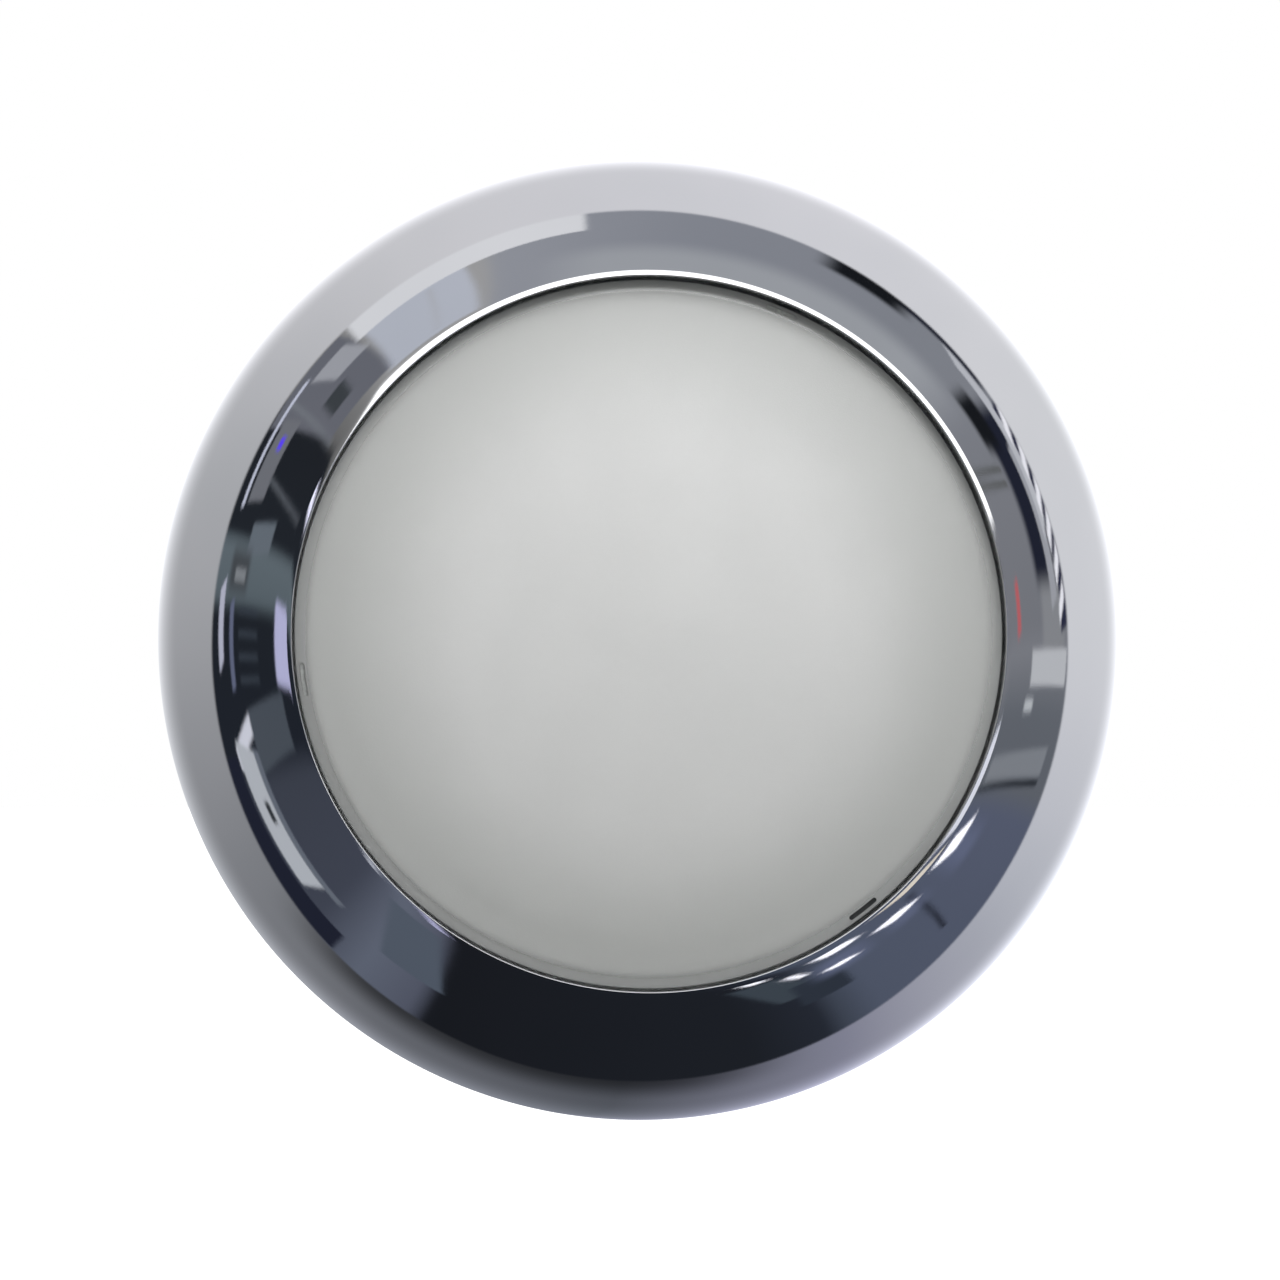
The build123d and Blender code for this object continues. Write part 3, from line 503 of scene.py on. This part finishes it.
def turned_metal(name, dark, light, low, high, pitch=0.00035):
    """Metal with fine rings left by the lathe and small worn patches."""
    s = Surface(name, Metallic=1.0)
    s.mottle(dark, light, 70.0)
    s.gloss(low, high, 220.0, 5.0)
    rings = s.math("MULTIPLY", s.radius(), 2 * pi / pitch)
    wander = s.math("MULTIPLY", s.noise(s.where, 300.0), 6.0)
    s.bump(s.math("SINE", s.math("ADD", rings, wander)), 0.000006, 0.5)
    s.bump(s.noise(s.where, 2400.0, 2.0, 0.7), 0.000008, 0.5)
    return s.material


def brushed_metal(name, dark, light, low, high, stretch=(30.0, 1.0, 1.0)):
    """Sheet metal with long fine scratches."""
    s = Surface(name, Metallic=1.0)
    s.mottle(dark, light, 50.0)
    s.gloss(low, high, 180.0, 5.0)
    along = s.node("Mapping")
    along.inputs["Scale"].default_value = stretch
    s.link(s.where, along.inputs["Vector"])
    s.bump(s.noise(along.outputs[0], 600.0, 4.0, 0.6), 0.000012, 0.6)
    return s.material


def board(name, mask, track, low, high):
    """Circuit board: solder mask with raised copper tracks under it."""
    s = Surface(name, Coat_Weight=0.4, Coat_Roughness=0.15)
    cells = s.node("TexVoronoi", feature="DISTANCE_TO_EDGE")
    cells.inputs["Scale"].default_value = 150.0
    s.link(s.where, cells.inputs["Vector"])
    tracks = s.span(cells.outputs["Distance"], 0.05, 0.09, 1.0, 0.0)
    s.colour(s.mix(tracks, rgb(mask), rgb(track)))
    s.gloss(low, high, 200.0)
    s.bump(tracks, 0.00004, 0.6)
    s.bump(s.noise(s.where, 1200.0, 3.0), 0.00001, 0.5)
    return s.material


def wound_wire(name):
    """Enamelled copper turns side by side."""
    s = Surface(name, Metallic=1.0, Coat_Weight=0.5, Coat_Roughness=0.1)
    s.mottle(srgb(168, 92, 48), srgb(206, 128, 76), 300.0)
    s.gloss(0.18, 0.34, 400.0)
    s.bump(s.noise(s.where, 1800.0, 2.0), 0.00003, 0.6)
    return s.material


def paper(name):
    """Fibrous paper sachet."""
    s = Surface(name, Specular_IOR_Level=0.2)
    s.mottle(srgb(226, 224, 214), srgb(240, 239, 232), 240.0, 6.0)
    s.gloss(0.75, 0.95, 300.0)
    s.bump(s.noise(s.where, 900.0, 6.0, 0.75), 0.00012, 0.7)
    return s.material


def glowing_chip(name):
    """Yellow phosphor gel, not lit."""
    s = Surface(name, Coat_Weight=0.6, Coat_Roughness=0.08)
    s.mottle(srgb(238, 208, 96), srgb(248, 226, 130), 500.0)
    s.gloss(0.25, 0.4, 500.0)
    s.bump(s.noise(s.where, 2500.0, 3.0), 0.00002, 0.5)
    return s.material


def materials():
    """One material for each of the record's slots."""
    return {
        "bracket_plastic": moulded("bracket_plastic", srgb(196, 198, 200), srgb(206, 208, 210), 0.5, 0.62),
        "housing_plastic": moulded("housing_plastic", srgb(204, 206, 206), srgb(214, 215, 216), 0.38, 0.5),
        "gland_nylon": moulded("gland_nylon", srgb(44, 45, 47), srgb(56, 57, 59), 0.36, 0.5, 0.00002),
        "seal_rubber": rubber("seal_rubber", srgb(30, 30, 31), srgb(44, 44, 45)),
        "slip_washer": moulded("slip_washer", srgb(222, 222, 216), srgb(232, 232, 226), 0.3, 0.42),
        "frosted_lens": frosted_lens("frosted_lens"),
        "key_rubber": rubber_key_painted_light("key_rubber"),
        "clamp_plastic": moulded("clamp_plastic", srgb(168, 170, 174), srgb(178, 180, 184), 0.42, 0.55),
        "stainless": turned_metal("stainless", srgb(190, 188, 184), srgb(208, 206, 202), 0.22, 0.36),
        "brass_inserts": turned_metal("brass_inserts", srgb(206, 176, 112), srgb(222, 194, 132), 0.25, 0.4),
        "spreader_aluminium": brushed_metal(
            "spreader_aluminium", srgb(206, 208, 210), srgb(218, 220, 222), 0.3, 0.44
        ),
        "thermal_silicone": rubber("thermal_silicone", srgb(150, 168, 182), srgb(162, 178, 192)),
        "white_board": board("white_board", srgb(238, 238, 234), srgb(228, 228, 222), 0.3, 0.45),
        "led_phosphor": glowing_chip("led_phosphor"),
        "reflector_white": moulded("reflector_white", srgb(236, 236, 235), srgb(244, 244, 243), 0.25, 0.4),
        "opal_plastic": moulded("opal_plastic", srgb(240, 241, 240), srgb(247, 247, 246), 0.4, 0.55),
        "circuit_board": board("circuit_board", srgb(20, 92, 46), srgb(48, 128, 70), 0.3, 0.45),
        "standoff_nylon": moulded("standoff_nylon", srgb(234, 231, 222), srgb(242, 240, 232), 0.4, 0.5),
        "ferrite": moulded("ferrite", srgb(62, 64, 62), srgb(76, 78, 76), 0.6, 0.8, 0.00008),
        "copper_wire": wound_wire("copper_wire"),
        "capacitor_sleeve": moulded("capacitor_sleeve", srgb(34, 42, 60), srgb(46, 54, 74), 0.2, 0.32),
        "black_resin": moulded("black_resin", srgb(34, 34, 35), srgb(46, 46, 47), 0.45, 0.6),
        "terminal_green": moulded("terminal_green", srgb(64, 140, 84), srgb(78, 156, 98), 0.35, 0.48),
        "lead_red": moulded("lead_red", srgb(176, 34, 30), srgb(194, 46, 40), 0.35, 0.5),
        "lead_black": moulded("lead_black", srgb(28, 28, 30), srgb(40, 40, 42), 0.35, 0.5),
        "plug_white": moulded("plug_white", srgb(238, 236, 226), srgb(246, 244, 236), 0.3, 0.42),
        "absorber_paper": paper("absorber_paper"),
        "chrome_plating": chrome("chrome_plating"),
        "spring_steel": brushed_metal("spring_steel", srgb(186, 186, 188), srgb(204, 204, 206), 0.2, 0.34),
    }


def dress(pieces):
    """Gives every piece and every carried-over CAD node the material of its slot."""
    made = materials()
    slot_of = {s["node"]: s["material_slot"] for s in frame["record"]["subparts"]}
    for name, node in nodes.items():
        node.data.materials.clear()
        node.data.materials.append(made[slot_of[name]])
    for piece in pieces:
        piece.data.materials.clear()
        piece.data.materials.append(made[piece["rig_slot"]])


# ---- room, light and camera ----
BLACK, BLUE_BLACK, STEEL = srgb(22, 24, 28), srgb(30, 33, 46), srgb(96, 104, 112)
LILAC, CREAM, LAMP = srgb(172, 172, 204), srgb(214, 206, 192), (1.3, 1.3, 1.4)
# Shades round the optical axis, by parts of a turn from +X towards +Z.
WALLS = [
    (0.000, srgb(118, 120, 126)), (0.010, srgb(112, 114, 120)), (0.060, srgb(116, 118, 124)),
    (0.120, srgb(124, 127, 134)), (0.220, srgb(128, 131, 139)), (0.300, srgb(138, 141, 148)),
    (0.306, srgb(150)), (0.355, srgb(146)), (0.375, srgb(118)), (0.398, srgb(96)),
    (0.402, srgb(30, 33, 38)), (0.455, srgb(32, 36, 42)), (0.458, srgb(92, 102, 108)),
    (0.480, srgb(84, 94, 100)), (0.486, srgb(30, 34, 40)), (0.545, srgb(30, 34, 42)),
    (0.560, srgb(58, 62, 72)), (0.615, srgb(62, 66, 78)), (0.640, srgb(92, 98, 112)),
    (0.665, srgb(80, 84, 98)), (0.672, srgb(24, 26, 31)), (0.800, srgb(28, 31, 37)),
    (0.828, srgb(36, 40, 49)), (0.836, srgb(60, 66, 78)), (0.850, srgb(76, 83, 99)),
    (0.935, srgb(82, 88, 106)), (0.945, srgb(90, 94, 101)), (0.975, srgb(94, 98, 105)),
    (1.000, srgb(118, 120, 126)),
]
SWEEP = [
    (0.000, srgb(201, 202, 206)), (0.083, srgb(202, 203, 206)), (0.167, srgb(205, 205, 209)),
    (0.250, srgb(200, 200, 204)), (0.333, srgb(194, 194, 197)), (0.417, srgb(170, 171, 174)),
    (0.500, srgb(152, 153, 156)), (0.583, srgb(122, 124, 128)), (0.667, srgb(99, 101, 107)),
    (0.750, srgb(80, 83, 90)), (0.833, srgb(126, 127, 143)), (0.917, srgb(177, 179, 187)),
    (1.000, srgb(201, 202, 206)),
]
# The sweep begins this many degrees off the axis, with its drift round the axis.
SWEEP_EDGE = 84.9
SWEEP_EDGE_RISE = -8.25
SWEEP_EDGE_LEAN = -2.5
SWEEP_EDGE_FLATNESS = -3.35
# Towards the sweep's dark lower side, a little left of straight down.
SWEEP_LOW_X, SWEEP_LOW_Z = -0.259, -0.966
MIRRORED_STRENGTH = 1.27
FLOOR_Z, FLOOR_R = -0.30, 14.0
SOFT_LIGHT_BY_HEIGHT = [(0.0, (0.14, 0.15, 0.13)), (0.5, (0.60, 0.61, 0.59)), (1.0, 1.35)]


class Room(Tree):
    """What polished metal mirrors: a grey room, and a pale sweep behind the light."""

    def __init__(self, world):
        super().__init__(world)
        heading = self.node("TexCoord").outputs["Generated"]
        apart = self.node("SeparateXYZ")
        self.link(heading, apart.inputs[0])
        x, y, self.height = apart.outputs
        angle = self.math("ARCCOSINE", self.math("MULTIPLY", y, -1.0))
        self.off_axis = self.math("MULTIPLY", angle, 180 / pi)
        self.turn = self.math("ARCTAN2", self.height, x)
        self.around = self.math("FRACT", self.math("ADD", self.math("DIVIDE", self.turn, 2 * pi), 1.0))
        self.degrees_round = self.math("MULTIPLY", self.around, 360.0)
        self.seen = self.ramp(self.around, WALLS)

    def patch(self, low, high, near, far, colour, slant=0.0):
        """Something in the room, between two angles round the axis and two angles off it.

        Its sides lean by slant degrees round for each degree off the axis.
        """
        middle = (low + high) / 2
        if slant:
            middle = self.math("MULTIPLY_ADD", self.off_axis, slant, middle - slant * near)
        across = self.math("COMPARE", self.degrees_round, middle, (high - low) / 2)
        outwards = self.math("COMPARE", self.off_axis, (near + far) / 2, (far - near) / 2)
        self.seen = self.mix(self.math("MULTIPLY", across, outwards), self.seen, rgb(colour))

    def blur(self, low, high, near, far, colour, soft):
        """Something out of focus in the room, between the same four angles."""
        inside = self.math(
            "MULTIPLY",
            self.span(self.degrees_round, low - soft, low + soft),
            self.span(self.degrees_round, high - soft, high + soft, 1.0, 0.0),
        )
        inside = self.math("MULTIPLY", inside, self.span(self.off_axis, near - soft, near + soft))
        inside = self.math("MULTIPLY", inside, self.span(self.off_axis, far - soft, far + soft, 1.0, 0.0))
        self.seen = self.mix(inside, self.seen, rgb(colour))

    def upper_wall(self):
        """The wall's brighter upper part."""
        self.blur(38, 98, 28, 50, srgb(150, 153, 158), 7.0)

    def right_side(self):
        """Machinery behind a pale sheet, two cables and a red streak."""
        self.blur(-1, 11, 58, 76, srgb(128, 130, 134), 2.0)
        self.blur(9, 34, 56, 72, BLUE_BLACK, 2.2)
        self.blur(28, 37, 52, 62, BLACK, 1.8)
        self.patch(5, 27, 66, 71, srgb(150, 152, 158), 0.35)
        self.patch(14, 40, 69, 74, srgb(176, 178, 184), 0.8)
        self.patch(2, 33, 73, 82, srgb(40, 42, 62), 0.2)
        for start in (3, 8, 12.5, 17, 22, 27):
            self.patch(start, start + 2.6, 72, 77, srgb(226, 226, 232), 0.7)
        self.blur(36, 60, 74, 82, BLUE_BLACK, 1.6)
        self.blur(50, 62, 68, 80, BLACK, 2.2)
        for start in (24.2, 26.4):
            self.patch(start, start + 0.7, 26, 54, srgb(66, 68, 62), -0.05)
        self.patch(2.0, 9.5, 39, 41.5, srgb(176, 92, 96), 0.4)

    def top_left(self):
        """Window and the step of the ceiling."""
        self.patch(111, 128, 34, 66, srgb(172, 176, 186), 0.05)
        self.patch(118.2, 118.9, 36, 64, srgb(166, 168, 174))
        self.patch(95, 131, 66, 82, srgb(206, 207, 210))
        self.patch(96, 150, 82.6, 85.2, srgb(48, 54, 96))
        self.patch(128, 144, 36, 80, srgb(98, 100, 108), 0.1)
        self.patch(130, 137, 58, 72, srgb(150, 152, 158), 0.2)
        self.patch(136, 141, 44, 54, srgb(58, 62, 66))

    def left_side(self):
        """Dark doorway with shelves, a screen and pale frames."""
        self.patch(145, 158, 61, 72, srgb(106, 108, 114), 0.1)
        self.patch(148.4, 150.4, 64.5, 67.5, srgb(90, 66, 236))
        self.patch(143.5, 144.3, 34, 74, srgb(112, 116, 122))
        self.patch(157.2, 158.0, 32, 62, srgb(92, 96, 102), -0.1)
        self.patch(140, 160, 74, 76, srgb(186, 190, 206))
        self.patch(160, 165, 46, 62, STEEL, 0.1)
        self.blur(166, 172, 58, 72, srgb(66, 70, 74), 1.8)
        self.patch(168.5, 170.5, 60, 68, srgb(120, 124, 128))
        for start in (174, 177.5, 181, 184.5):
            self.patch(start, start + 1.2, 48, 62, srgb(50, 56, 64))
        self.patch(173, 186, 66, 69, srgb(92, 98, 120), 0.3)
        self.patch(170, 182, 74, 78, srgb(168, 170, 186), 0.5)
        self.patch(173, 187, 23, 36, LILAC, -0.1)
        self.patch(149, 153.5, 15, 27, (0.9, 0.9, 1.1))

    def lower_left(self):
        """Bright leaning sheet and cabinets."""
        self.patch(187, 197, 34, 60, srgb(70, 76, 84), 0.1)
        self.patch(190, 193.5, 60, 76, srgb(196, 198, 208), 0.3)
        self.patch(196, 219, 63, 75, srgb(168, 172, 178), -0.2)
        self.patch(196, 223, 60, 63.4, srgb(96, 102, 112), -0.2)
        self.patch(203.5, 207, 66, 69, srgb(48, 52, 56))
        self.patch(196, 226, 77, 92, BLUE_BLACK)
        self.patch(221, 224, 10, 22, srgb(176, 180, 190))
        self.patch(228, 239, 32, 66, srgb(78, 86, 98), 0.1)
        self.patch(237, 240.5, 12, 26, LILAC)

    def lower_right(self):
        """Cabinets under lamps."""
        self.patch(289, 297, 34, 52, srgb(58, 66, 74), 0.3)
        self.patch(297, 305, 44, 60, srgb(44, 50, 60))
        self.patch(320.5, 321.3, 36, 72, srgb(28, 30, 38), -0.05)
        self.patch(339.5, 340.4, 34, 74, srgb(34, 38, 44), 0.05)
        self.patch(341, 345, 36, 74, srgb(120, 124, 130), 0.05)
        self.patch(351.5, 353.2, 48, 54, srgb(176, 180, 184))
        for low, high, near, far in ((302, 310, 38, 48), (315, 321, 40, 48), (327, 334, 38, 50)):
            self.blur(low, high, near, far, srgb(92, 99, 122), 3.0)
        for low, high, near, far, slant in (
            (291, 294, 30, 33, 0.5), (297.5, 299, 36, 40, 0.5), (303, 309, 33, 35.5, 1.0),
            (302.5, 306.5, 43, 45, 1.2), (312.5, 317.5, 39, 42.5, 1.0), (326, 332, 36, 41, 0.8),
        ):
            self.patch(low, high, near, far, LAMP, slant)
        self.patch(334, 351, 16, 30, srgb(214, 216, 226))
        self.patch(318, 328, 22, 33, CREAM, 0.3)
        self.patch(355, 361, 50, 78, srgb(176, 178, 182))

    def ceiling(self):
        """Bright ceiling, which the land round the lens mirrors."""
        self.blur(20, 131, 5, 31, (1.5, 1.5, 1.5), 1.6)

    def sweep(self):
        """Pale sweep behind the light, brighter towards the wall and shaded along its low edge."""
        edge = self.math("MULTIPLY_ADD", self.math("SINE", self.turn), SWEEP_EDGE_RISE, SWEEP_EDGE)
        edge = self.math("MULTIPLY_ADD", self.math("COSINE", self.turn), SWEEP_EDGE_LEAN, edge)
        twice = self.math("MULTIPLY", self.turn, 2.0)
        edge = self.math("MULTIPLY_ADD", self.math("COSINE", twice), SWEEP_EDGE_FLATNESS, edge)
        past_edge = self.math("SUBTRACT", self.off_axis, edge)
        leftwards = self.math("MULTIPLY", self.math("COSINE", self.turn), SWEEP_LOW_X)
        low_side = self.math("MULTIPLY_ADD", self.math("SINE", self.turn), SWEEP_LOW_Z, leftwards)
        shade = self.math(
            "MULTIPLY",
            self.span(low_side, 0.74, 0.95, 0.0, 0.75),
            self.span(past_edge, 0.0, 26.0, 1.0, 0.0),
        )
        rim_glow = self.span(self.off_axis, 122.0, 172.0, 1.0, 2.1)
        lit = self.node("VectorMath", operation="SCALE")
        self.link(self.ramp(self.around, SWEEP), lit.inputs[0])
        self.link(self.math("MULTIPLY", rim_glow, self.math("SUBTRACT", 1.0, shade)), lit.inputs["Scale"])
        self.seen = self.mix(self.span(past_edge, -1.2, 1.2), self.seen, lit.outputs[0])

    def background(self, colour, strength=1.0):
        made = self.node("Background")
        self.feed(made.inputs["Color"], colour)
        made.inputs["Strength"].default_value = strength
        return made.outputs[0]

    def choose(self, factor, usual, special):
        """One background for most rays, another for the rays that the factor picks."""
        made = self.node("MixShader")
        for socket, value in zip(made.inputs, (factor, usual, special)):
            self.link(value, socket)
        return made.outputs[0]


def room():
    """Even soft light, the room for polished metal to mirror, and plain white behind the light."""
    world = bpy.data.worlds.new("room")
    bpy.context.scene.world = world
    r = Room(world)
    r.upper_wall()
    r.right_side()
    r.top_left()
    r.left_side()
    r.lower_left()
    r.lower_right()
    r.ceiling()
    r.sweep()
    ray = r.node("LightPath").outputs
    mirrored = r.background(r.seen, MIRRORED_STRENGTH)
    soft = r.background(r.ramp(r.span(r.height, -1.0, 1.0, kind="LINEAR"), SOFT_LIGHT_BY_HEIGHT))
    lighting = r.choose(ray["Is Glossy Ray"], soft, mirrored)
    shown = r.choose(ray["Is Camera Ray"], lighting, r.background(rgb(1.0)))
    r.link(shown, r.node("OutputWorld").inputs[0])


def pale_floor():
    """Plain pale floor below the light."""
    bm = bmesh.new()
    bmesh.ops.create_circle(bm, cap_ends=True, segments=96, radius=FLOOR_R)
    mesh = bpy.data.meshes.new("floor")
    bm.to_mesh(mesh)
    bm.free()
    floor = bpy.data.objects.new("floor", mesh)
    floor.location = (0, 0, FLOOR_Z)
    floor.visible_glossy = False
    floor.visible_diffuse = False
    floor.visible_transmission = False
    bpy.context.scene.collection.objects.link(floor)
    s = Surface("floor_paper", Specular_IOR_Level=0.1, Emission_Strength=0.4)
    s.mottle(0.90, 0.92, 3.0)
    s.gloss(0.8, 0.9, 20.0)
    mesh.materials.append(s.material)


def aim(thing, place, target):
    """Puts a lamp or camera in place and turns it to the target."""
    thing.location = place
    thing.rotation_euler = (Vector(target) - Vector(place)).to_track_quat("-Z", "Y").to_euler()


def soft_light(name, place, size, power):
    """Round softbox aimed at the light, which neither metal nor lens mirrors."""
    lamp = bpy.data.lights.new(name, "AREA")
    lamp.shape = "DISK"
    lamp.size = size
    lamp.energy = power
    lamp.color = (0.985, 0.985, 1.0)
    holder = bpy.data.objects.new(name, lamp)
    holder.visible_glossy = False
    bpy.context.scene.collection.objects.link(holder)
    aim(holder, place, (0, 0, 0))


def camera():
    """The photograph's view: nearly square on, a little below and to the left, from 1 m away."""
    azimuth, elevation, away = radians(-3.4), radians(-1.7), 1.0
    target = Vector((0, -0.006, 0))
    data = bpy.data.cameras.new("camera")
    data.sensor_width = 36.0
    data.lens = 99.9
    data.shift_x = -0.00086
    data.shift_y = -0.00164
    holder = bpy.data.objects.new("camera", data)
    bpy.context.scene.collection.objects.link(holder)
    back = Vector((sin(azimuth) * cos(elevation), -cos(azimuth) * cos(elevation), sin(elevation)))
    aim(holder, target + back * away, target)
    bpy.context.scene.camera = holder


camera()
room()
pale_floor()
soft_light("softbox_above", place=(0.08, -0.34, 0.41), size=0.35, power=2.15)
dress(trim_ring() + lens())
bpy.context.scene.view_settings.view_transform = "Standard"
